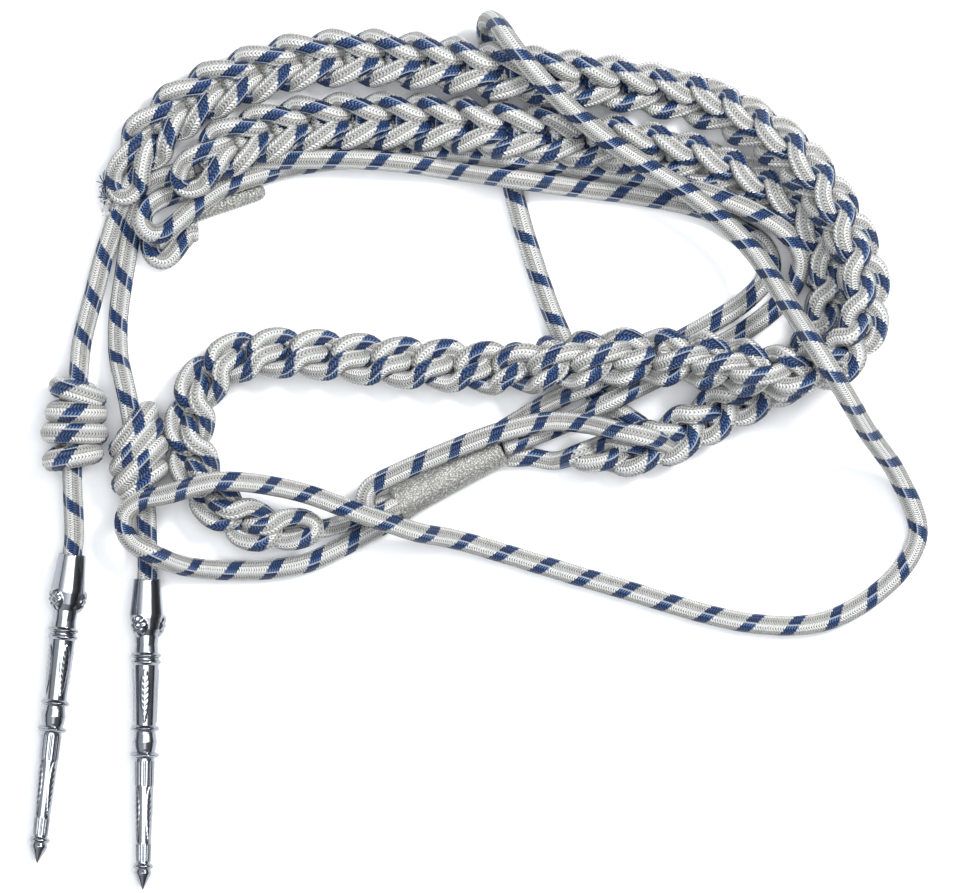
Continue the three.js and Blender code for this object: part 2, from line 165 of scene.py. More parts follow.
# Share of painted shade in the grooves between lanes
GROOVE_SHADE_SHARE = 0.5
PARTING_SHARE = 0.75
EDGE_DIP = 0.8  # of the yarn's height
BRAID_ROUGHNESS = 0.38
BRAID_SPECULAR = 0.34
THREAD_NOISE = 900.0
THREAD_SHADE_AT = (0.4, 0.6)
THREAD_ROUGHNESS = 0.45
STEEL_ROUGHNESS = 0.19
BULLION_SPECKS = (2200.0, 3.0)  # scale and detail
BULLION_SPECK_AT = (0.45, 0.70)
BULLION_PATCHES = 500.0
BULLION_METALLIC = 0.45
BULLION_ROUGHNESS = 0.35
BULLION_BUMP = 0.0004
PAPER_ROUGHNESS = 0.9

# The sleeve and the tongue, with places from the photograph's middle
OVAL_HALF = 0.56  # half of an oval's height before its underside is cut flat, as a share of what is left
SLEEVE_ENDS = [(-0.0228, -0.0158), (0.0055, -0.0005)]
SLEEVE_WIDTH = 0.0100
SLEEVE_HEIGHT = 0.0086
SLEEVE_POINTS = 72
SLEEVE_ROWS = 150
SLEEVE_SWELLS = [(0.10, 0.05), (0.04, 0.04)]  # at either mouth: extra width, and share of the length
SLEEVE_KNIT = 0.012  # depth of the knit, as a share of the sleeve's width
SLEEVE_WALES = 18  # stitches round the sleeve
SLEEVE_COURSES = 190  # along the sleeve, in radians
SLEEVE_SLANT = 3  # how far a course swings aside, in radians
# The rolled lips of its two mouths: distance out of the mouth, share of the width and of the height.
SLEEVE_NEAR_LIP = [(-0.0012, 0.90, 0.94), (0.0004, 0.94, 0.97), (0.0006, 1.06, 1.06)]
SLEEVE_FAR_LIP = [(0.0005, 0.98, 0.98), (0.0003, 0.88, 0.90), (-0.0010, 0.85, 0.87)]
TONGUE_FROM = (-0.0806, 0.0659)
TONGUE_TOWARDS = (-0.0602, 0.0716)
TONGUE_LENGTH = 0.0213
TONGUE_ROOT = 0.0062
TONGUE_END = 0.0040
TONGUE_HEIGHT = 0.0030
TONGUE_POINTS = 40
TONGUE_ROWS = 130
TONGUE_RIBS = 23
TONGUE_RIB_DEPTH = 0.075
TONGUE_CHEVRON = 2.2  # how far a rib's sides lag behind its middle, in radians
TONGUE_GROOVE_DEPTH = 0.10
TONGUE_GROOVE_WIDTH = 0.16
TONGUE_END_ROUND = 0.02  # square of the last row's share of the width
TONGUE_END_HEIGHT = 0.4  # height where the tongue's end is rounded to nothing, as a share

# Metal tips and wound knots, with places from the photograph's middle
TIP_LENGTH = 0.087
TIP_WIDEST = 0.0050
TIP_ROWS = 420
TIP_POINTS = 96
TIP_ROUND = 0.975  # radius of the round stretches, as a share of the outline's
SOCKET_DEPTH = 0.009
SOCKET_SIDES = 8
SOCKET_ROLL = math.radians(7)
SOCKET_BORE = 0.0034
SOCKET_BEVEL = 0.0003
SOCKET_BEVEL_DEPTH = 0.0004
ROSETTE_AT = 0.150
ROSETTE_RADIUS = 0.0031
ROSETTE_RISE = 0.0012
ROSETTE_PETALS = 8
PETAL_DEPTH = 0.38
PETALS_FROM = (0.2, 0.5)  # of the radius, over which the petals part
HEART_RISE = 0.35
HEART_RADIUS = 0.2
HEART_RING = (0.34, 0.08, 0.25)  # radius, width and depth of the groove round the heart
LEAF_RISE = 0.00022
LEAVES_ROUND = 4
LEAF_WIDEST = 0.75  # exponents: the first sets where a leaf is widest, the second how full it is
LEAF_FULLNESS = 0.8
LEAF_POINT = 1e-6  # half width left at a leaf's points, in radians
LEAF_EDGE = (0.92, 0.08)  # of half its width: where the leaf falls off, and how softly
LEAF_VEINS = 9
LEAF_VEIN_SLANT = 0.9
LEAF_LEVELS = (0.55, 0.30, 0.35)  # rise of the blade, the veins and the midrib
MIDRIB_WIDTH = 0.14
KNURL_DEPTH = 0.00015
KNURL_ROUNDS = 90  # in the tip's length
KNURL_LEAN = 1.6
KNURL_EDGE = 0.004
TIP_LEFT = [(-0.1141, -0.0302), (-0.1241, -0.1176)]
TIP_RIGHT = [(-0.0931, -0.0371), (-0.0944, -0.1246)]
KNOT_LENGTH = 0.021
KNOT_CORD = 0.0061
KNOT_RADIUS = 0.0059  # from the knot's axis to the middle of its wraps
KNOT_AXIS_HEIGHT = 0.0085
KNOT_SQUEEZE = 0.94  # height of a wrap beside its width
KNOT_SAMPLES = 48  # of the cord's line, in one wrap
KNOT_CROSSING = 0.45  # of a turn, after which the cord moves on to the next wrap
KNOT_RING_STEP = RING_STEP * 0.8
KNOT_STRAIGHT = 0.0025  # how far the tip's cord runs on straight past either end of a knot
TIP_STRAIGHT = 0.005  # how far it runs straight towards the tip's mouth
TIP_CORD_GAP = 0.0006  # from its end to the bottom of the socket
KNOT_LEFT = [(-0.1124, 0.0176), (-0.1141, -0.006)]
KNOT_RIGHT = [(-0.0984, 0.0126), (-0.094, -0.0105)]

# Outline of a metal tip: share of the length from the mouth, share of the widest radius, and how eight-sided.
TIP_OUTLINE = [
    (0.000, 0.77, 0.62), (0.004, 0.79, 0.62), (0.113, 1.00, 0.62), (0.122, 0.99, 0.62), (0.160, 0.86, 0.62),
    (0.180, 0.72, 0.4), (0.213, 0.66, 0), (0.236, 0.70, 0), (0.241, 0.84, 0), (0.244, 0.88, 0),
    (0.249, 0.84, 0), (0.253, 0.74, 0), (0.258, 0.74, 0), (0.262, 0.83, 0), (0.267, 0.87, 0),
    (0.272, 0.80, 0), (0.276, 0.73, 0), (0.470, 0.62, 0), (0.474, 0.76, 0), (0.480, 0.84, 0),
    (0.486, 0.78, 0), (0.490, 0.60, 0), (0.500, 0.62, 0), (0.524, 0.70, 0), (0.548, 0.62, 0),
    (0.556, 0.58, 0), (0.560, 0.76, 0), (0.566, 0.86, 0), (0.572, 0.76, 0), (0.576, 0.56, 0),
    (0.700, 0.52, 0), (0.915, 0.41, 0), (0.919, 0.54, 0), (0.925, 0.60, 0), (0.930, 0.54, 0),
    (0.934, 0.43, 0), (0.945, 0.50, 0), (0.953, 0.45, 0), (0.992, 0.09, 0), (0.999, 0.03, 0),
]
TIP_RESTS_ON = [2, 27]  # rows of the outline that touch the surface
# Rows of leaves: from and to along the tip, and half their width in radians.
TIP_LEAVES = [(0.290, 0.462, 0.42), (0.668, 0.845, 0.40)]
TIP_KNURLS = [(0.585, 0.665), (0.852, 0.908)]  # from and to along the tip
# Where the two rosettes and the first leaf of each row stand, in degrees from straight down.
LEFT_TURNS = [-128, 92, 155, 141]
RIGHT_TURNS = [-146, 84, 183, 143]

# Wraps of the two wound knots: place along the knot, rise to the right in degrees, width to either side.
KNOT_LEFT_WRAPS = [
    (0.0020, -8, 0.50), (0.0026, -14, 0.90), (0.0082, 3, 1.00), (0.0139, 3, 1.12), (0.0206, 15, 0.96),
    (0.0212, 15, 0.45),
]
KNOT_RIGHT_WRAPS = [
    (0.0080, 40, 0.45), (0.0082, 42, 0.86), (0.0130, 40, 1.0), (0.0180, 36, 1.04), (0.0222, 26, 0.80),
    (0.0226, 22, 0.45),
]

# Routes: x and y from the photograph's middle, then the height of the cord's middle,
# or for a plait the height of what it lies on and its roll in degrees.
LONG_ROUTE = [
    (-0.046, -0.0216, 0, 263), (-0.056, -0.0229, 0, 263), (-0.068, -0.0195, 0, 263),
    (-0.0775, -0.0095, 0, 263), (-0.0807, 0.004, 0, 263), (-0.078, 0.016, 0, 263),
    (-0.07, 0.0235, 0, 263), (-0.059, 0.0255, 0, 263), (-0.044, 0.025, 0, 263), (-0.028, 0.0235, 0, 258),
    (-0.011, 0.0227, 0, 250), (0.0056, 0.0224, 0.001, 232), (0.0196, 0.0234, 0.009, 205),
    (0.0336, 0.0248, 0.012, 188), (0.05, 0.025, 0.01, 180), (0.0686, 0.0231, 0.0144, 175),
    (0.0784, 0.0208, 0.017, 165), (0.088, 0.02, 0.017, 150), (0.0974, 0.0224, 0.016, 130),
    (0.1045, 0.0295, 0.016, 108), (0.107, 0.04, 0.016, 88), (0.1048, 0.054, 0.015, 73),
    (0.098, 0.0678, 0.014, 64), (0.0884, 0.0808, 0.012, 58), (0.076, 0.0904, 0.005, 53),
    (0.063, 0.0968, 0, 47), (0.045, 0.101, 0.001, 37), (0.0224, 0.1036, 0.006, 20),
    (0.007, 0.1046, 0.0095, 8), (-0.008, 0.1066, 0.004, 0), (-0.03, 0.1087, 0, 0), (-0.05, 0.1078, 0, 0),
    (-0.066, 0.1032, 0, 0), (-0.0808, 0.0963, 0.0006, -5), (-0.0913, 0.0873, 0.0003, -12),
    (-0.0975, 0.077, 0, -20), (-0.1003, 0.0705, 0, -25),
]
SHORT_ROUTE = [
    (0.028, -0.0025, 0, 160), (0.041, -0.0025, 0, 145), (0.0546, 0.0022, 0, 130),
    (0.0685, 0.0105, 0, 122), (0.0808, 0.0168, 0, 115), (0.0896, 0.0235, 0, 105), (0.0955, 0.0325, 0, 92),
    (0.0975, 0.043, 0, 82), (0.0955, 0.054, 0, 68), (0.0883, 0.0652, 0, 57), (0.0744, 0.0744, 0, 47),
    (0.058, 0.081, 0, 36), (0.0403, 0.0844, 0, 20), (0.026, 0.0864, 0.0022, 7),
    (0.0112, 0.0878, 0.0069, 0), (0.004, 0.0886, 0.0069, 0), (-0.0028, 0.0896, 0.0034, 0),
    (-0.018, 0.0908, 0, 0), (-0.042, 0.0908, 0, 0), (-0.059, 0.0881, 0.0008, 0),
    (-0.072, 0.0828, 0.004, 0), (-0.0784, 0.0776, 0.0062, -6), (-0.0832, 0.0732, 0.0062, -10),
]
ARM_ROUTE = [
    (0.0462, 0.005, 0.003), (0.03, 0.017, 0.003), (0.0224, 0.032, 0.003), (0.016, 0.049, 0.003),
    (0.0095, 0.071, 0.003), (0.0052, 0.0955, 0.003), (0.0027, 0.1110, 0.0035), (0.0018, 0.1152, 0.0065),
    (0.0022, 0.1190, 0.0125), (0.0048, 0.1180, 0.02), (0.0087, 0.1124, 0.0265), (0.0138, 0.1060, 0.0285),
    (0.023, 0.0962, 0.025), (0.0347, 0.0862, 0.021), (0.0475, 0.0776, 0.0195), (0.06, 0.0695, 0.0172),
    (0.075, 0.056, 0.0166), (0.086, 0.0398, 0.026), (0.0955, 0.0246, 0.0355), (0.101, 0.016, 0.0325),
    (0.108, 0.0045, 0.0205), (0.117, -0.0084, 0.0085), (0.1226, -0.024, 0.003), (0.117, -0.0355, 0.003),
    (0.098, -0.0484, 0.003), (0.077, -0.0496, 0.003), (0.0336, -0.038, 0.003), (-0.007, -0.026, 0.005),
    (-0.0174, -0.024, 0.011), (-0.032, -0.0192, 0.016), (-0.052, -0.0123, 0.016),
    (-0.0728, -0.0098, 0.0222), (-0.0874, -0.0134, 0.017), (-0.0948, -0.0151, 0.0138),
    (-0.0990, -0.0188, 0.0125), (-0.0992, -0.0234, 0.0125), (-0.0967, -0.0271, 0.0129),
    (-0.0920, -0.0298, 0.0134), (-0.08, -0.034, 0.005), (-0.051, -0.0332, 0.003),
    (-0.0306, -0.0238, 0.003), (-0.0240, -0.0200, 0.003), (-0.0190, -0.0162, 0.003),
]
DOUBLE_ROUTE = [
    (0.0045, 0.0034, 0.003), (0.0182, 0.0116, 0.005), (0.0288, 0.0164, 0.0118), (0.035, 0.019, 0.0085),
    (0.046, 0.0246, 0.0032), (0.0624, 0.0333, 0.003), (0.0752, 0.0415, 0.003), (0.0815, 0.0498, 0.003),
    (0.0795, 0.0562, 0.003), (0.0728, 0.0608, 0.003), (0.0628, 0.0662, 0.003), (0.0445, 0.0702, 0.003),
    (0.026, 0.0726, 0.0035), (0.0096, 0.0748, 0.0112), (-0.008, 0.0774, 0.0045), (-0.022, 0.0794, 0.0076),
    (-0.035, 0.0803, 0.0086), (-0.048, 0.0804, 0.0084), (-0.057, 0.0802, 0.0062),
    (-0.065, 0.0795, 0.0034), (-0.0731, 0.0763, 0.003), (-0.0838, 0.0713, 0.0038),
    (-0.0902, 0.0688, 0.0072), (-0.0936, 0.0660, 0.0096), (-0.0944, 0.0625, 0.0106),
    (-0.0924, 0.0597, 0.0108), (-0.0888, 0.0596, 0.0106), (-0.0850, 0.0624, 0.0096),
    (-0.0812, 0.0658, 0.008), (-0.0728, 0.072, 0.0064), (-0.0666, 0.0745, 0.0052),
    (-0.0600, 0.0765, 0.0036), (-0.053, 0.0783, 0.003), (-0.044, 0.0797, 0.003), (-0.034, 0.0806, 0.003),
    (-0.022, 0.0812, 0.003), (-0.008, 0.0820, 0.0035), (0.0084, 0.0806, 0.012), (0.026, 0.0781, 0.0034),
    (0.0417, 0.0757, 0.0038), (0.052, 0.0738, 0.0064), (0.062, 0.0713, 0.0102), (0.0706, 0.0682, 0.0118),
    (0.0800, 0.0637, 0.0120), (0.0868, 0.0585, 0.0122), (0.0897, 0.0530, 0.0112),
    (0.0885, 0.0470, 0.0080), (0.0838, 0.0400, 0.0046), (0.0762, 0.0338, 0.0031), (0.0670, 0.0282, 0.003),
    (0.052, 0.0204, 0.0032), (0.0375, 0.0132, 0.0099), (0.025, 0.007, 0.0035), (0.0065, -0.0003, 0.0085),
]
JOINING_ROUTE = [
    (-0.0212, -0.0150, 0.0062), (-0.0252, -0.0175, 0.0084), (-0.0288, -0.0189, 0.0096),
    (-0.0314, -0.0177, 0.0094), (-0.0321, -0.0146, 0.0094), (-0.0307, -0.0115, 0.0094),
    (-0.0274, -0.0095, 0.0095), (-0.0240, -0.0079, 0.0096), (-0.0204, -0.0062, 0.0099),
    (-0.0098, -0.0017, 0.0108), (0.0011, 0.0026, 0.0136), (0.009, 0.005, 0.014), (0.0199, 0.007, 0.0115),
    (0.0305, 0.0062, 0.0123), (0.038, 0.0044, 0.0172), (0.0448, 0.003, 0.0190), (0.0500, 0.0015, 0.0145),
    (0.0530, 0.0000, 0.0095),
]
LONG_LEAD_ROUTE = [
    (-0.0206, -0.0136, 0.0036), (-0.0245, -0.0152, 0.0033), (-0.0290, -0.0170, 0.003),
    (-0.034, -0.0195, 0.003), (-0.0385, -0.0215, 0.003),
]
SHORT_LEAD_ROUTE = [
    (0.004, -0.0012, 0.004), (0.008, -0.0030, 0.003), (0.0143, -0.0030, 0.003), (0.021, -0.0040, 0.003),
]
CHEST_BIGHT_ROUTE = [
    (-0.0918, 0.0595, 0.003), (-0.0923, 0.0556, 0.003), (-0.0906, 0.0528, 0.003),
    (-0.0880, 0.0524, 0.003), (-0.0856, 0.0545, 0.003), (-0.0835, 0.0573, 0.003),
    (-0.0811, 0.0598, 0.003), (-0.0788, 0.0600, 0.003),
]
TIP_CORD_LEFT_ROUTE = [
    (-0.0945, 0.0795, 0.0055), (-0.0972, 0.0745, 0.0065), (-0.1000, 0.0692, 0.0045),
    (-0.1018, 0.0642, 0.003), (-0.103, 0.06, 0.003), (-0.1054, 0.0529, 0.003), (-0.1076, 0.0442, 0.003),
    (-0.1098, 0.036, 0.003), (-0.1116, 0.028, 0.0048),
]
TIP_CORD_RIGHT_ROUTE = [
    (-0.0800, 0.0775, 0.0085), (-0.0862, 0.0762, 0.0078), (-0.0912, 0.0742, 0.0048),
    (-0.0943, 0.0704, 0.003), (-0.0957, 0.0662, 0.003), (-0.0970, 0.0620, 0.003),
    (-0.0981, 0.0572, 0.003), (-0.0992, 0.0505, 0.003), (-0.1008, 0.04, 0.003), (-0.1014, 0.0319, 0.003),
    (-0.101, 0.0245, 0.0046),
]


# Lines

def in_row(points):
    """Points measured from the photograph's middle, in the row frame."""
    return np.array(points, float) + np.array([*PHOTO_MIDDLE, 0.0])


def spline(points, per_segment=24):
    """Centripetal Catmull-Rom through the points, with the parameter of each sample."""
    p = np.array(points, float)
    p = np.vstack([2 * p[0] - p[1], p, 2 * p[-1] - p[-2]])
    t = np.linspace(0.0, 1.0, per_segment, endpoint=False)[:, None]
    runs = []
    for p0, p1, p2, p3 in zip(p, p[1:], p[2:], p[3:]):
        d0, d1, d2 = (
            math.sqrt(max(np.linalg.norm(b - a), NO_LENGTH)) for a, b in ((p0, p1), (p1, p2), (p2, p3))
        )
        m1 = ((p1 - p0) / d0 - (p2 - p0) / (d0 + d1) + (p2 - p1) / d1) * d1
        m2 = ((p2 - p1) / d1 - (p3 - p1) / (d1 + d2) + (p3 - p2) / d2) * d1
        c2 = 3 * (p2 - p1) - 2 * m1 - m2
        c3 = 2 * (p1 - p2) + m1 + m2
        runs.append(p1 + m1 * t + c2 * t**2 + c3 * t**3)
    line = np.vstack([*runs, p[-2][None]])
    return line, np.arange(len(line)) / per_segment


def arc(line):
    return np.concatenate([[0.0], np.cumsum(np.linalg.norm(np.diff(line, axis=0), axis=1))])


def even(line, step, *others):
    """The line, and what is measured along it, resampled at an even step."""
    s = arc(line)
    at = np.linspace(0.0, s[-1], max(3, round(s[-1] / step) + 1))
    new = np.stack([np.interp(at, s, line[:, i]) for i in range(3)], axis=1)
    return [new, *(np.interp(at, s, other) for other in others)]


def tangents(line):
    t = np.gradient(line, axis=0)
    return t / np.linalg.norm(t, axis=1)[:, None]


def untwisted(line):
    """A side direction at each point, carried along the line without twist."""
    t = tangents(line)
    first = np.cross(t[0], [0.0, 0.0, 1.0])
    if np.linalg.norm(first) < UPRIGHT:
        first = np.cross(t[0], [0.0, 1.0, 0.0])
    sides = [first / np.linalg.norm(first)]
    for i in range(len(line) - 1):
        r1 = line[i + 1] - line[i]
        c1 = max(r1 @ r1, NO_LENGTH**2)
        side = sides[-1] - (2 / c1) * (r1 @ sides[-1]) * r1
        ahead = t[i] - (2 / c1) * (r1 @ t[i]) * r1
        r2 = t[i + 1] - ahead
        c2 = max(r2 @ r2, NO_LENGTH**2)
        side = side - (2 / c2) * (r2 @ side) * r2
        side -= (side @ t[i + 1]) * t[i + 1]
        sides.append(side / np.linalg.norm(side))
    return np.array(sides)


def turned(sides, ahead, angle):
    """Side directions turned about the line by an angle at each point."""
    other = np.cross(ahead, sides)
    return sides * np.cos(angle)[:, None] + other * np.sin(angle)[:, None]


# Meshes

def new_piece(name, points, faces, material, uv=None):
    mesh = bpy.data.meshes.new(name)
    mesh.from_pydata([tuple(p) for p in points], [], faces)
    if uv is not None:
        layer = mesh.uv_layers.new(name="along_and_round")
        layer.data.foreach_set("uv", np.array(uv, np.float32).ravel())
    mesh.polygons.foreach_set("use_smooth", [True] * len(mesh.polygons))
    mesh.materials.append(material)
    mesh.update()
    piece = bpy.data.objects.new(name, mesh)
    bpy.context.scene.collection.objects.link(piece)
    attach(piece, "root")
    return piece


def tube_faces(rings, count):
    """Quads between rings of points, and a fan at each end from the two points that follow the rings."""
    faces = []
    for i in range(rings - 1):
        for j in range(count):
            k = (j + 1) % count
            faces.append((i * count + j, i * count + k, (i + 1) * count + k, (i + 1) * count + j))
    start, end = rings * count, rings * count + 1
    last = (rings - 1) * count
    for j in range(count):
        k = (j + 1) % count
        faces.append((start, k, j))
        faces.append((end, last + j, last + k))
    return faces


def tube_uv(marks, count):
    """For each corner of a tube's faces, the marks along the cord and the share of the way round."""
    uv = []
    for low_mark, high_mark in zip(marks, marks[1:]):
        for j in range(count):
            low, high = j / count, (j + 1) / count
            uv += [(low_mark, low), (low_mark, high), (high_mark, high), (high_mark, low)]
    for j in range(count):
        k = (j + 1) % count
        uv += [(marks[0], 0.5), (marks[0], k / count), (marks[0], j / count)]
        uv += [(marks[-1], 0.5), (marks[-1], j / count), (marks[-1], k / count)]
    return uv


def braided_tube(name, line, marks, diameter, material, sides=None):
    """A round braided cord along a line. marks counts the blue marks of a lane along it."""
    count = LANES * LANE_POINTS
    sides = untwisted(line) if sides is None else sides
    other = np.cross(tangents(line), sides)
    turn = np.arange(count) * 2 * math.pi / count
    groove = 1 - np.tile(LANE_GROOVES, LANES)
    radius = np.full(len(line), diameter / 2)
    radius[[0, -1]] *= END_TAPER
    across = np.cos(turn) * groove
    up = np.sin(turn) * groove
    outward = sides[:, None, :] * across[None, :, None] + other[:, None, :] * up[None, :, None]
    rings = line[:, None, :] + radius[:, None, None] * outward
    rings[:, :, 2] = np.maximum(rings[:, :, 2], FLOOR_GAP)
    points = np.vstack([rings.reshape(-1, 3), line[0][None], line[-1][None]])
    faces = tube_faces(len(line), count)
    return new_piece(name, points, faces, material, tube_uv(marks, count))


def plain_cord(name, route, material, node=None, first_mark=0.0, step=RING_STEP):
    """A plain cord along its route."""
    fine, _ = spline(in_row(route))
    fine[:, 2] = np.maximum(fine[:, 2] - (ROUTE_CORD - CORD) / 2, CORD / 2 + LINE_GAP)
    line, = even(fine, step)
    length = arc(line)
    piece = braided_tube(name, line, first_mark + length / MARK_PITCH, CORD, material)
    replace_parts(piece, node or name)


# Plaits

def rest_height(roll):
    """Height of a plait's middle above what it lies on."""
    heights = [up * math.cos(roll) - across * math.sin(roll) for up, across in zip(STITCH_UP, STITCH_ACROSS)]
    return -min(heights) * PLAIT_UNIT + PLAIT_CORD / 2


def plait_line(route, stitches, first, last, lead=()):
    """Points of the plait's cord, with the stitch that each belongs to and the plait's up direction there."""
    rolls = np.radians([row[3] for row in route])
    middles = in_row([(x, y, over + rest_height(roll)) for (x, y, over, _), roll in zip(route, rolls)])
    middle_line, at = spline(middles)
    length = arc(middle_line)
    ahead = tangents(middle_line)
    pitch = length[-1] / (stitches + PAST_STITCHES)
    points = [tuple(p) for p in in_row(lead)] if len(lead) else []
    stitch_at = [first - LEAD_STITCH * (len(points) - i) for i in range(len(points))]
    ups = []
    for stitch in range(first, last):
        for along, across, up in zip(STITCH_ALONG, STITCH_ACROSS, STITCH_UP):
            s = min((stitch + along) * pitch, length[-1])
            middle = np.array([np.interp(s, length, middle_line[:, i]) for i in range(3)])
            way = np.array([np.interp(s, length, ahead[:, i]) for i in range(3)])
            way /= np.linalg.norm(way)
            roll = np.interp(np.interp(s, length, at), np.arange(len(rolls)), rolls)
            level = np.array([0.0, 0.0, 1.0]) - way[2] * way
            level /= np.linalg.norm(level)
            top = level * math.cos(roll) + np.cross(level, way) * math.sin(roll)
            side = np.cross(top, way)
            unit = PLAIT_UNIT * (END_LOOP if stitch in (0, stitches - 1) else 1.0)
            points.append(tuple(middle + (side * across + top * up) * unit))
            stitch_at.append(stitch + len(ups) % len(STITCH_ALONG) / len(STITCH_ALONG))
            ups.append(top)
    ups = [ups[0]] * (len(points) - len(ups)) + ups
    return np.array(points), np.array(stitch_at), np.array(ups)


def plait(name, nodes, route, stitches, first, last, material, lead=(), first_mark=0.0):
    """A plait's loops from first to last, as one braided cord that stands for the nodes."""
    points, stitch_at, ups = plait_line(route, stitches, first, last, lead)
    fine, at = spline(points, LOOP_SAMPLES)
    own = np.arange(len(points))
    line, count, *top = even(
        fine, RING_STEP,
        np.interp(at, own, stitch_at),
        *(np.interp(at, own, ups[:, i]) for i in range(3)),
    )
    top = np.stack(top, axis=1)
    ahead = tangents(line)
    sides = untwisted(line)
    # The cord turns back by the twist that each loop adds, so its marks repeat from loop to loop.
    lean = np.arctan2(
        np.einsum("ij,ij->i", top, np.cross(ahead, sides)), np.einsum("ij,ij->i", top, sides)
    )
    starts = [int(np.argmin(np.abs(count - k))) for k in range(first, last)]
    held = np.unwrap(lean[starts])
    angle = np.interp(np.arange(len(line)), starts, held)
    # Marks are counted by loops, and evenly along the cord inside one loop.
    s = arc(line)
    marks = np.interp(s, s[starts], np.arange(first, last) * MARKS_PER_STITCH)
    ends = (s < s[starts[0]]) | (s > s[starts[-1]])
    rate = MARKS_PER_STITCH * (len(starts) - 1) / (s[starts[-1]] - s[starts[0]])
    nearest = np.where(s < s[starts[0]], starts[0], starts[-1])
    marks = np.where(ends, marks[nearest] + (s - s[nearest]) * rate, marks) + first_mark
    piece = braided_tube(name, line, marks, PLAIT_CORD, material, turned(sides, ahead, angle))
    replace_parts(piece, *nodes)


# Frayed threads

def frayed_end(name, start, turn, threads, material):
    """Loose threads that stand out of the long plait's chest end."""
    root = in_row([(*start, FRAY_HEIGHT)])[0]
    ring = np.linspace(0.0, 2 * math.pi, FRAY_SIDES, endpoint=False)
    by_turn, by_length = FRAY_RATIOS
    wave_x, wave_y, wave_z, wave_bend, wave_lift = FRAY_WAVES
    points, faces = [], []
    for i in range(threads):
        heading = math.radians(turn[0] + (turn[1] - turn[0]) * (i * by_turn % 1.0))
        reach = FRAY_LENGTH * (FRAY_SHORTEST + (1 - FRAY_SHORTEST) * (i * by_length % 1.0))
        bend = FRAY_BEND * math.sin(i * wave_bend)
        lift = FRAY_LIFT * math.sin(i * wave_lift)
        aside = np.array([math.cos(i * wave_x), math.sin(i * wave_y), math.cos(i * wave_z)])
        line = [root + aside * FRAY_SPREAD]
        for step in range(FRAY_STEPS):
            way = heading + bend * step / FRAY_STEPS
            ahead = np.array([math.cos(way), math.sin(way), lift - FRAY_DROOP * step])
            line.append(line[-1] + reach / FRAY_STEPS * ahead)
        line = np.array(line)
        line[:, 2] = np.maximum(line[:, 2], FLOOR_GAP + THREAD / 2)
        sides = untwisted(line)
        other = np.cross(tangents(line), sides)
        radius = THREAD / 2 * np.linspace(1.0, 0.5, len(line))
        first = len(points)
        for middle, side, up, r in zip(line, sides, other, radius):
            points += [middle + r * (side * math.cos(a) + up * math.sin(a)) for a in ring]
        for row in range(len(line) - 1):
            low = first + row * FRAY_SIDES
            high = low + FRAY_SIDES
            for j in range(FRAY_SIDES):
                k = (j + 1) % FRAY_SIDES
                faces.append((low + j, low + k, high + k, high + j))
        last = first + (len(line) - 1) * FRAY_SIDES
        faces.append(tuple(first + j for j in reversed(range(FRAY_SIDES))))
        faces.append(tuple(last + j for j in range(FRAY_SIDES)))
    new_piece(name, points, faces, material)


# Wound knots

def smooth_step(value, low, high):
    """0 below low, 1 above high, and a smooth rise between them."""
    t = np.clip((value - low) / (high - low), 0.0, 1.0)
    return t * t * (3 - 2 * t)


def tip_cord_end(knot_ends, tip_ends):
    """Points of a tip's cord, from its knot down into the tip's socket."""
    knot_ends, tip_ends = np.array(knot_ends), np.array(tip_ends)
    knot_way = knot_ends[1] - knot_ends[0]
    knot_way /= np.linalg.norm(knot_way)
    tip_way = tip_ends[1] - tip_ends[0]
    tip_way /= np.linalg.norm(tip_way)
    slope, height = tip_lie()
    through = [
        (*(knot_ends[0] + knot_way * s), KNOT_AXIS_HEIGHT)
        for s in (-KNOT_STRAIGHT, KNOT_LENGTH / 2, KNOT_LENGTH + KNOT_STRAIGHT)
    ]
    inside = [
        (*(tip_ends[0] + tip_way * s), height - s * math.tan(slope))
        for s in (-TIP_STRAIGHT, 0.0, SOCKET_DEPTH - TIP_CORD_GAP)
    ]
    return [*through, *inside]


def wound_knot(name, ends, wraps, material, first_mark):
    """The cord wound round itself, one wrap beside another, each with its own lean."""
    (x0, y0), (x1, y1) = ends
    way = np.array([x1 - x0, y1 - y0, 0.0])
    way /= np.linalg.norm(way)
    aside = np.cross(way, [0.0, 0.0, 1.0])
    start = in_row([(x0, y0, KNOT_AXIS_HEIGHT)])[0]
    # Each wrap crosses the front level with its place, and the cord moves on to the next one behind.
    turns = np.linspace(0.0, len(wraps) - 1.0, KNOT_SAMPLES * len(wraps))
    whole = np.floor(turns)
    moved = whole + smooth_step(turns - whole, KNOT_CROSSING, 1.0)
    table = np.array(wraps)
    place, rise, width = (np.interp(moved, np.arange(len(wraps)), table[:, i]) for i in range(3))
    sideways = KNOT_RADIUS * width * np.cos(turns * 2 * math.pi)
    forward = place + sideways * np.tan(np.radians(rise))
    line = start + aside * sideways[:, None] + way * forward[:, None]
    line[:, 2] += KNOT_RADIUS * KNOT_SQUEEZE * np.minimum(width, 1.0) * np.sin(turns * 2 * math.pi)
    line, = even(line, KNOT_RING_STEP)
    piece = braided_tube(name, line, first_mark + arc(line) / MARK_PITCH, KNOT_CORD, material)
    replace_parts(piece, name.replace("_wraps", ""))


# Metal tips

def between(value, low, high, soft):
    """1 from low to high, 0 elsewhere, with edges twice soft wide."""
    return smooth_step(value, low - soft, low + soft) * (1 - smooth_step(value, high - soft, high + soft))


def apart(angle, middle):
    """Signed turn from middle to angle, within half a turn."""
    return (angle - middle + math.pi) % (2 * math.pi) - math.pi


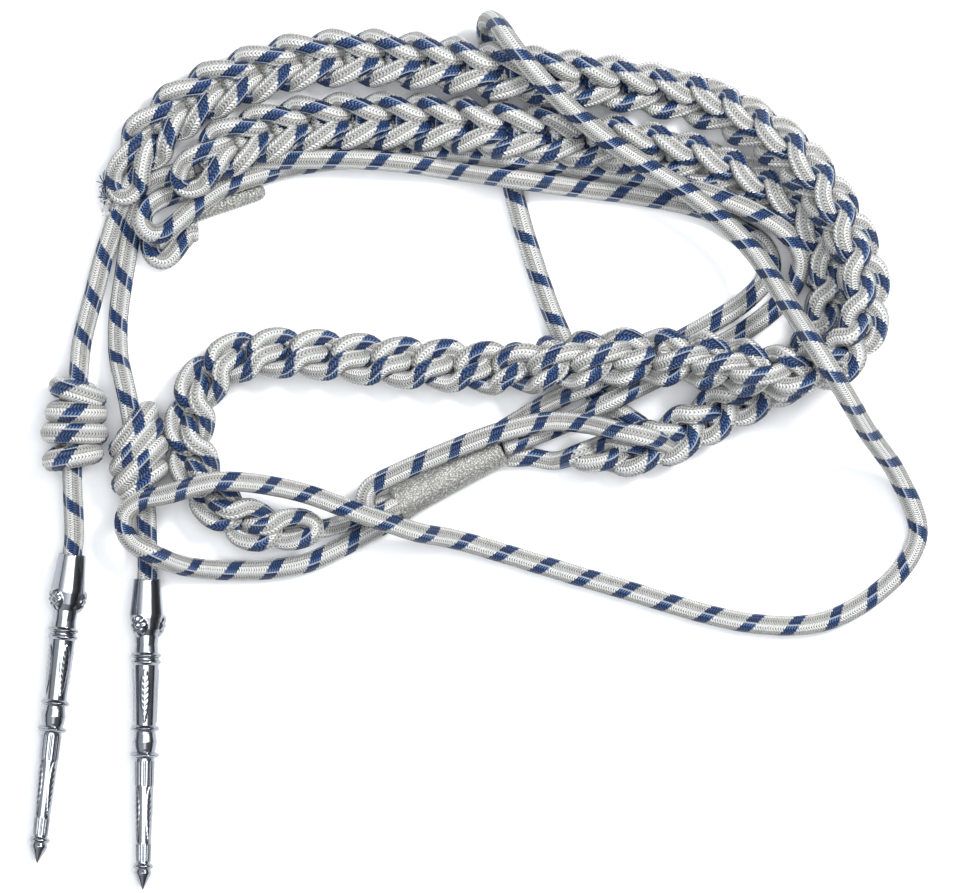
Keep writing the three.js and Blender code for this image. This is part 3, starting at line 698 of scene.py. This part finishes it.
def leaf_relief(at, angle, start, end, middle, width):
    """A raised lance-shaped leaf with a midrib and slanting veins, from 0 to 1."""
    u = (at - start) / (end - start)
    inside = (u > 0) & (u < 1)
    u = np.clip(u, 0.0, 1.0)
    half = width * np.sin(math.pi * u**LEAF_WIDEST) ** LEAF_FULLNESS + LEAF_POINT
    v = apart(angle, middle) / half
    body = between(np.abs(v), -1.0, *LEAF_EDGE)
    veins = 0.5 + 0.5 * np.cos(2 * math.pi * (u * LEAF_VEINS + np.abs(v) * LEAF_VEIN_SLANT))
    midrib = np.exp(-(v / MIDRIB_WIDTH) ** 2)
    blade_level, vein_level, midrib_level = LEAF_LEVELS
    return inside * body * (blade_level + vein_level * veins + midrib_level * midrib)


def rosette_relief(at, angle, radius, middle):
    """A round domed flower, from 0 to about 1."""
    x = (at - ROSETTE_AT) * TIP_LENGTH / ROSETTE_RADIUS
    y = apart(angle, middle) * radius / ROSETTE_RADIUS
    away = np.hypot(x, y)
    turn = np.arctan2(y, x)
    dome = np.sqrt(np.clip(1 - away**2, 0.0, 1.0))
    petals = 0.5 + 0.5 * np.cos(turn * ROSETTE_PETALS)
    outer = dome * (1 - PETAL_DEPTH + PETAL_DEPTH * petals * smooth_step(away, *PETALS_FROM))
    heart = np.exp(-(away / HEART_RADIUS) ** 2) * HEART_RISE
    ring_at, ring_width, ring_depth = HEART_RING
    groove = ring_depth * np.exp(-((away - ring_at) / ring_width) ** 2)
    return np.where(away < 1, outer + heart - groove, 0.0)


def tip_lie():
    """Slope and height of a tip that lies on two rows of its outline."""
    near, far = (TIP_OUTLINE[i] for i in TIP_RESTS_ON)
    slope = math.atan2((near[1] - far[1]) * TIP_WIDEST, (far[0] - near[0]) * TIP_LENGTH)
    return slope, near[1] * TIP_WIDEST + near[0] * TIP_LENGTH * math.tan(slope)


def tip(name, ends, turns, material):
    """A turned and chased metal tip, whose socket holds the cord's end."""
    rows = np.array(TIP_OUTLINE)
    fine = np.unique(np.concatenate([np.linspace(0.0, rows[-1, 0], TIP_ROWS), rows[:, 0]]))
    radius = np.interp(fine, rows[:, 0], rows[:, 1]) * TIP_WIDEST
    facet = np.interp(fine, rows[:, 0], rows[:, 2])
    angle = np.arange(TIP_POINTS) * 2 * math.pi / TIP_POINTS
    at, turn = np.meshgrid(fine, angle, indexing="ij")
    half_side = math.pi / SOCKET_SIDES
    off_side = (turn - SOCKET_ROLL + half_side) % (2 * half_side) - half_side
    flat = math.cos(half_side) / np.cos(off_side)
    r = radius[:, None] * (facet[:, None] * flat + (1 - facet[:, None]) * TIP_ROUND)
    places = np.radians(turns)
    relief = sum(rosette_relief(at, turn, TIP_WIDEST, place) for place in places[:2]) * ROSETTE_RISE
    for (start, end, width), first in zip(TIP_LEAVES, places[2:]):
        for leaf in range(LEAVES_ROUND):
            middle = first + leaf * 2 * math.pi / LEAVES_ROUND
            relief = relief + leaf_relief(at, turn, start, end, middle, width) * LEAF_RISE
    rounds, lean = at * KNURL_ROUNDS, turn * KNURL_LEAN
    cuts = np.cos(2 * math.pi * (rounds + lean)) * np.cos(2 * math.pi * (rounds - lean))
    r = r + relief + KNURL_DEPTH * cuts * sum(between(at, *ends_at, KNURL_EDGE) for ends_at in TIP_KNURLS)
    outside = np.stack([r * np.cos(turn), r * np.sin(turn), at * TIP_LENGTH], axis=2)
    circle = np.stack([np.cos(angle), np.sin(angle), np.zeros(TIP_POINTS)], axis=1)
    mouth_bore = SOCKET_BORE + SOCKET_BEVEL
    bores = [(SOCKET_BORE, SOCKET_DEPTH), (SOCKET_BORE, SOCKET_BEVEL_DEPTH), (mouth_bore, 0.0)]
    socket = [circle * bore + [0.0, 0.0, depth] for bore, depth in bores]
    rings = [*socket, *outside]
    points = np.vstack([*rings, [[0, 0, SOCKET_DEPTH]], [[0, 0, TIP_LENGTH]]])
    (x0, y0), (x1, y1) = ends
    heading = math.atan2(y1 - y0, x1 - x0)
    slope, height = tip_lie()
    lay = Matrix.Translation((*in_row([(x0, y0, 0.0)])[0][:2], height))
    lay = lay @ Matrix.Rotation(heading, 4, "Z") @ Matrix.Rotation(math.pi / 2 + slope, 4, "Y")
    placed = points @ np.array(lay.to_3x3()).T + np.array(lay.translation)
    piece = new_piece(name, placed, tube_faces(len(rings), TIP_POINTS), material)
    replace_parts(piece, name.replace("_chased", ""))


# The sleeve and the tongue of silver bullion thread

def lofted(name, rings, material):
    """A closed skin through rings of points, with a fan at each end."""
    points = np.vstack([*rings, rings[0].mean(axis=0)[None], rings[-1].mean(axis=0)[None]])
    return new_piece(name, points, tube_faces(len(rings), len(rings[0])), material)


def flat_bottomed(middle, aside, half_width, height, turn, dents=0.0):
    """An oval ring that is flat where it rests."""
    x = half_width * np.cos(turn) * (1 + dents)
    z = np.maximum(height / 2 + height * OVAL_HALF * np.sin(turn) * (1 + dents), FLOOR_GAP)
    ring = middle + aside * x[:, None]
    ring[:, 2] = z
    return ring


def sleeve(material):
    """Knitted sleeve, a little full at its mouths, whose rolled lips stand round the cords."""
    (x0, y0), (x1, y1) = SLEEVE_ENDS
    start, end = in_row([(x0, y0, 0.0), (x1, y1, 0.0)])
    length = np.linalg.norm(end - start)
    way = (end - start) / length
    aside = np.cross([0.0, 0.0, 1.0], way)
    turn = np.linspace(0.0, 2 * math.pi, SLEEVE_POINTS, endpoint=False)

    def ring(middle, wider, higher, dents=0.0):
        return flat_bottomed(middle, aside, SLEEVE_WIDTH / 2 * wider, SLEEVE_HEIGHT * higher, turn, dents)

    (near_swell, near_reach), (far_swell, far_reach) = SLEEVE_SWELLS
    rings = [ring(start - way * out, wider, higher) for out, wider, higher in SLEEVE_NEAR_LIP]
    for share in np.linspace(0.0, 1.0, SLEEVE_ROWS):
        near = near_swell * math.exp(-(share / near_reach) ** 2)
        far = far_swell * math.exp(-((1 - share) / far_reach) ** 2)
        course = share * SLEEVE_COURSES
        wales = np.cos(turn * SLEEVE_WALES + SLEEVE_SLANT * math.sin(course))
        dents = SLEEVE_KNIT * wales * math.cos(course)
        rings.append(ring(start + way * share * length, 1 + near + far, 1 + near + far, dents))
    rings += [ring(end + way * out, wider, higher) for out, wider, higher in SLEEVE_FAR_LIP]
    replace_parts(lofted("sleeve_skin", rings, material), "binding_sleeve")


def tongue(material):
    """Tapering tongue with chevron ribs, a groove along its middle and a round end."""
    start, towards = in_row([(*TONGUE_FROM, 0.0), (*TONGUE_TOWARDS, 0.0)])
    way = (towards - start) / np.linalg.norm(towards - start)
    aside = np.cross([0.0, 0.0, 1.0], way)
    turn = np.linspace(0.0, 2 * math.pi, TONGUE_POINTS, endpoint=False)
    groove = TONGUE_GROOVE_DEPTH * np.exp(-(np.cos(turn) / TONGUE_GROOVE_WIDTH) ** 2) * (np.sin(turn) > 0)
    rings = []
    for share in np.linspace(0.0, 1.0, TONGUE_ROWS):
        half = (TONGUE_ROOT + (TONGUE_END - TONGUE_ROOT) * share) / 2
        to_end = (1 - share) * TONGUE_LENGTH / (TONGUE_END / 2)
        rounding = math.sqrt(max(1 - (1 - min(to_end, 1.0)) ** 2, TONGUE_END_ROUND))
        height = TONGUE_HEIGHT * (TONGUE_END_HEIGHT + (1 - TONGUE_END_HEIGHT) * rounding)
        phase = 2 * math.pi * share * TONGUE_RIBS + TONGUE_CHEVRON * np.abs(np.cos(turn))
        dents = TONGUE_RIB_DEPTH * np.cos(phase) - groove
        middle = start + way * share * TONGUE_LENGTH
        rings.append(flat_bottomed(middle, aside, half * rounding, height, turn, dents))
    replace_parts(lofted("tongue_skin", rings, material), "binding_tongue")


# Materials

class Nodes:
    """A material's node tree, with short names for what is used of it."""

    def __init__(self, name):
        self.material = bpy.data.materials.new(name)
        self.material.use_nodes = True
        self.tree = self.material.node_tree
        self.shader = self.tree.nodes["Principled BSDF"]

    def link(self, value, socket):
        if isinstance(value, bpy.types.NodeSocket):
            self.tree.links.new(value, socket)
        else:
            socket.default_value = value

    def maths(self, operation, *values):
        node = self.tree.nodes.new("ShaderNodeMath")
        node.operation = operation
        for value, socket in zip(values, node.inputs):
            self.link(value, socket)
        return node.outputs[0]

    def step(self, value, low, high):
        """0 below low, 1 above high."""
        node = self.tree.nodes.new("ShaderNodeMapRange")
        node.interpolation_type = "SMOOTHSTEP"
        for key, item in (("Value", value), ("From Min", low), ("From Max", high)):
            self.link(item, node.inputs[key])
        return node.outputs[0]

    def mix(self, share, first, second):
        node = self.tree.nodes.new("ShaderNodeMix")
        node.data_type = "RGBA"
        self.link(share, node.inputs[0])
        self.link(first, node.inputs[6])
        self.link(second, node.inputs[7])
        return node.outputs[2]

    def noise(self, vector, scale, detail=2.0):
        node = self.tree.nodes.new("ShaderNodeTexNoise")
        node.inputs["Scale"].default_value = scale
        node.inputs["Detail"].default_value = detail
        self.link(vector, node.inputs["Vector"])
        return node.outputs[0]

    def vector(self, x, y):
        node = self.tree.nodes.new("ShaderNodeCombineXYZ")
        for value, socket in zip((x, y), node.inputs):
            self.link(value, socket)
        return node.outputs[0]

    def uv(self):
        node = self.tree.nodes.new("ShaderNodeUVMap")
        split = self.tree.nodes.new("ShaderNodeSeparateXYZ")
        self.tree.links.new(node.outputs[0], split.inputs[0])
        return split.outputs[0], split.outputs[1]

    def place(self):
        return self.tree.nodes.new("ShaderNodeTexCoord").outputs["Object"]

    def bump(self, height, distance):
        node = self.tree.nodes.new("ShaderNodeBump")
        node.inputs["Distance"].default_value = distance
        node.inputs["Strength"].default_value = 1.0
        self.link(height, node.inputs["Height"])
        self.tree.links.new(node.outputs[0], self.shader.inputs["Normal"])


def braid_material():
    """White and silver yarn braided in lanes, with blue marks that climb round the cord. Every other lane,
    the hollows between yarns and the grooves between lanes are painted shade, and one half of each blue lane
    a painted highlight.
    """
    m = Nodes("braid")
    along, turn = m.uv()
    lane_at = m.maths("MULTIPLY", turn, float(LANES))
    lane = m.maths("FLOOR", lane_at)
    inside = m.maths("FRACT", lane_at)
    off_middle = m.maths("MULTIPLY", m.maths("ABSOLUTE", m.maths("SUBTRACT", inside, 0.5)), 2.0)
    edge = m.step(off_middle, *LANE_EDGE_AT)
    middle = m.maths("SUBTRACT", 1.0, m.step(off_middle, *LANE_MIDDLE_AT))
    # Yarns lean from the lane's middle to both its edges, as a herringbone.
    lean = m.maths("MULTIPLY_ADD", off_middle, YARN_LEAN, m.maths("MULTIPLY", along, YARNS))
    yarn = m.maths("MULTIPLY_ADD", m.maths("SINE", m.maths("MULTIPLY", lean, 2 * math.pi)), 0.5, 0.5)
    # One blue mark in each row to every pitch
    row_at = m.maths("MULTIPLY", turn, 2.0 * LANES)
    phase = m.maths("ADD", along, m.maths("MULTIPLY", m.maths("FLOOR", row_at), MARK_SHIFT))
    phase = m.maths("MULTIPLY_ADD", m.maths("FRACT", row_at), MARK_SLANT, phase)
    share = m.maths("FRACT", m.maths("MULTIPLY_ADD", yarn, MARK_RAGGED, phase))
    stop = m.step(share, MARK_LENGTH, MARK_LENGTH + MARK_EDGE)
    mark = m.maths("MULTIPLY", m.step(share, 0.0, MARK_EDGE), m.maths("SUBTRACT", 1.0, stop))
    # Painted shade: the yarns of every other lane are painted duller and darker, as if the lanes took turns
    # at facing the light.
    dull = m.maths("PINGPONG", lane, 1.0)
    fleck = m.noise(m.vector(m.maths("MULTIPLY", along, FLECKS_ALONG), lane_at), FLECK_SCALE)
    # The flecks are the yarn's own uneven tone; the share from every other lane is painted shade.
    fleck_and_lane_shade = m.maths("MULTIPLY_ADD", fleck, FLECK_WEAR, m.maths("MULTIPLY", dull, LANE_SHADE_WHITE))
    bright = m.mix(fleck_and_lane_shade, WHITE_YARN, GREY_AND_SHADED_YARN)
    # Painted shade: the hollows between yarns are painted dark, on the white most in a lane's middle, and on
    # the blue marks.
    hollow = m.maths("SUBTRACT", 1.0, m.step(yarn, *HOLLOW_AT))
    depth = m.maths("MULTIPLY_ADD", middle, HOLLOW_MIDDLE, HOLLOW_EVERYWHERE)
    white = m.mix(m.maths("MULTIPLY", hollow, depth), bright, HOLLOW_SHADE)
    blue = m.mix(m.step(yarn, *BLUE_HOLLOW_AT), BLUE_HOLLOW_SHADE, BLUE_YARN)
    # Painted highlight: one half of each lane in the blue marks is painted lighter, as a sheen.
    sheen = m.maths("MULTIPLY", m.step(inside, *SHEEN_LANE_AT), m.step(yarn, *SHEEN_YARN_AT))
    blue = m.mix(m.maths("MULTIPLY", sheen, SHEEN_SHARE), blue, BLUE_SHEEN)
    blue = m.mix(m.maths("MULTIPLY", dull, LANE_SHADE_BLUE), blue, BLUE_SHADED)
    colour = m.mix(mark, white, blue)
    # A pale yarn parts every second lane from the next.
    pair = m.maths("ABSOLUTE", m.maths("SUBTRACT", m.maths("FRACT", m.maths("MULTIPLY", lane_at, 0.5)), 0.5))
    pale = m.maths("SUBTRACT", 1.0, m.step(pair, *PARTING_AT))
    # Painted shade: the grooves at the lanes' edges are painted dark.
    groove_shade = m.mix(mark, GROOVE_SHADE, GROOVE_SHADE_BLUE)
    colour = m.mix(m.maths("MULTIPLY", edge, GROOVE_SHADE_SHARE), colour, groove_shade)
    colour = m.mix(m.maths("MULTIPLY", pale, PARTING_SHARE), colour, PARTING_YARN)
    m.link(colour, m.shader.inputs["Base Color"])
    m.shader.inputs["Roughness"].default_value = BRAID_ROUGHNESS
    m.shader.inputs["Specular IOR Level"].default_value = BRAID_SPECULAR
    m.bump(m.maths("SUBTRACT", yarn, m.maths("MULTIPLY", edge, EDGE_DIP)), YARN_BUMP)
    return m.material


def thread_material(name, dark, light):
    m = Nodes(name)
    shade = m.noise(m.place(), THREAD_NOISE)
    m.link(m.mix(m.step(shade, *THREAD_SHADE_AT), dark, light), m.shader.inputs["Base Color"])
    m.shader.inputs["Roughness"].default_value = THREAD_ROUGHNESS
    return m.material


def steel_material():
    m = Nodes("steel")
    m.shader.inputs["Base Color"].default_value = STEEL
    m.shader.inputs["Metallic"].default_value = 1.0
    m.shader.inputs["Roughness"].default_value = STEEL_ROUGHNESS
    return m.material


def bullion_material():
    m = Nodes("bullion")
    place = m.place()
    speck = m.noise(place, *BULLION_SPECKS)
    dull = m.mix(m.noise(place, BULLION_PATCHES), *BULLION_DULL)
    m.link(m.mix(m.step(speck, *BULLION_SPECK_AT), dull, BULLION_BRIGHT), m.shader.inputs["Base Color"])
    m.shader.inputs["Metallic"].default_value = BULLION_METALLIC
    m.shader.inputs["Roughness"].default_value = BULLION_ROUGHNESS
    m.bump(speck, BULLION_BUMP)
    return m.material


def floor_material():
    m = Nodes("paper")
    m.shader.inputs["Base Color"].default_value = PAPER
    m.shader.inputs["Roughness"].default_value = PAPER_ROUGHNESS
    return m.material


# Camera, floor and light

def camera():
    bpy.context.scene.view_settings.view_transform = "Standard"
    data = bpy.data.cameras.new("camera")
    data.lens = CAMERA_LENS
    data.sensor_width = CAMERA_SENSOR
    data.clip_end = CAMERA_CLIP
    item = bpy.data.objects.new("camera", data)
    distance = CAMERA_LENS / CAMERA_SENSOR * FRAME_WIDTH
    item.location = (*PHOTO_MIDDLE, distance)
    bpy.context.scene.collection.objects.link(item)
    bpy.context.scene.camera = item


def floor(material):
    mesh = bpy.data.meshes.new("floor")
    corners = [(x * FLOOR_HALF, y * FLOOR_HALF, 0) for x, y in ((-1, -1), (1, -1), (1, 1), (-1, 1))]
    mesh.from_pydata(corners, [], [(0, 1, 2, 3)])
    mesh.materials.append(material)
    item = bpy.data.objects.new("floor", mesh)
    bpy.context.scene.collection.objects.link(item)


def soft_light(name, location, size, power):
    data = bpy.data.lights.new(name, "AREA")
    data.shape = "DISK"
    data.size = size
    data.energy = power
    item = bpy.data.objects.new(name, data)
    item.location = location
    item.rotation_euler = (-Vector(location)).to_track_quat("-Z", "Y").to_euler()
    bpy.context.scene.collection.objects.link(item)


def sky(name):
    """A large soft box overhead, with a grey west and a dark east that the metal reflects."""
    world = bpy.data.worlds.new(name)
    world.use_nodes = True
    tree = world.node_tree
    way = tree.nodes.new("ShaderNodeTexCoord").outputs["Generated"]
    split = tree.nodes.new("ShaderNodeSeparateXYZ")
    tree.links.new(way, split.inputs[0])

    def ramp(value, low, high, start, end):
        node = tree.nodes.new("ShaderNodeMapRange")
        node.interpolation_type = "SMOOTHSTEP"
        tree.links.new(value, node.inputs["Value"])
        for key, item in (("From Min", low), ("From Max", high), ("To Min", start), ("To Max", end)):
            node.inputs[key].default_value = item
        return node.outputs[0]

    def joined(operation, first, second):
        node = tree.nodes.new("ShaderNodeMath")
        node.operation = operation
        tree.links.new(first, node.inputs[0])
        tree.links.new(second, node.inputs[1])
        return node.outputs[0]

    high = ramp(split.outputs["Z"], *SKY_LOW_EDGE, SKY_LOW, 1.0)
    sides = joined("MULTIPLY", ramp(split.outputs["X"], *SKY_SIDES_EDGE, SKY_WEST, SKY_EAST), high)
    box = ramp(split.outputs["Z"], *SKY_BOX_EDGE, 0.0, SKY_BOX)
    horizon = ramp(split.outputs["Z"], *SKY_HORIZON_EDGE, SKY_HORIZON, 0.0)
    background = tree.nodes["Background"]
    background.inputs[0].default_value = SKY_COLOUR
    tree.links.new(joined("ADD", joined("ADD", sides, box), horizon), background.inputs[1])
    return world


def lights():
    bpy.context.scene.world = sky("studio")
    soft_light("key", KEY_AT, KEY_SIZE, KEY_POWER)


camera()
braid = braid_material()
frayed_end("frayed_threads", *FRAY_BLUE, thread_material("blue_thread", *BLUE_THREAD))
frayed_end("frayed_threads_pale", *FRAY_PALE, thread_material("pale_thread", *PALE_THREAD))
plain_cord("arm_loop", ARM_ROUTE, braid, "arm_loop_cord")
plain_cord("double_run", DOUBLE_ROUTE, braid, "double_cord", first_mark=0.3)
plain_cord("joining_run", JOINING_ROUTE, braid, "joining_cord", first_mark=0.6)
left_tip_route = [*TIP_CORD_LEFT_ROUTE, *tip_cord_end(KNOT_LEFT, TIP_LEFT)]
plain_cord("left_tip_run", left_tip_route, braid, "tip_cord_left")
right_tip_route = [*TIP_CORD_RIGHT_ROUTE, *tip_cord_end(KNOT_RIGHT, TIP_RIGHT)]
plain_cord("right_tip_run", right_tip_route, braid, "tip_cord_right")
plain_cord("chest_bight_run", CHEST_BIGHT_ROUTE, braid, "chest_bight", step=RING_STEP / 2)
plait(
    "long_plait_first", ["long_plait_lower", "long_plait_lead"],
    LONG_ROUTE, LONG_STITCHES, 0, LONG_SPLIT, braid, LONG_LEAD_ROUTE, first_mark=0.45,
)
plait(
    "long_plait_rest", ["long_plait_upper"],
    LONG_ROUTE, LONG_STITCHES, LONG_SPLIT, LONG_STITCHES, braid, first_mark=0.1,
)
plait(
    "short_plait_all", ["short_plait", "short_plait_lead"],
    SHORT_ROUTE, SHORT_STITCHES, 0, SHORT_STITCHES, braid, SHORT_LEAD_ROUTE,
)
wound_knot("tip_knot_left_wraps", KNOT_LEFT, KNOT_LEFT_WRAPS, braid, 0.2)
wound_knot("tip_knot_right_wraps", KNOT_RIGHT, KNOT_RIGHT_WRAPS, braid, 0.5)

steel = steel_material()
bullion = bullion_material()
tip("tip_left_chased", TIP_LEFT, LEFT_TURNS, steel)
tip("tip_right_chased", TIP_RIGHT, RIGHT_TURNS, steel)
sleeve(bullion)
tongue(bullion)

floor(floor_material())
lights()
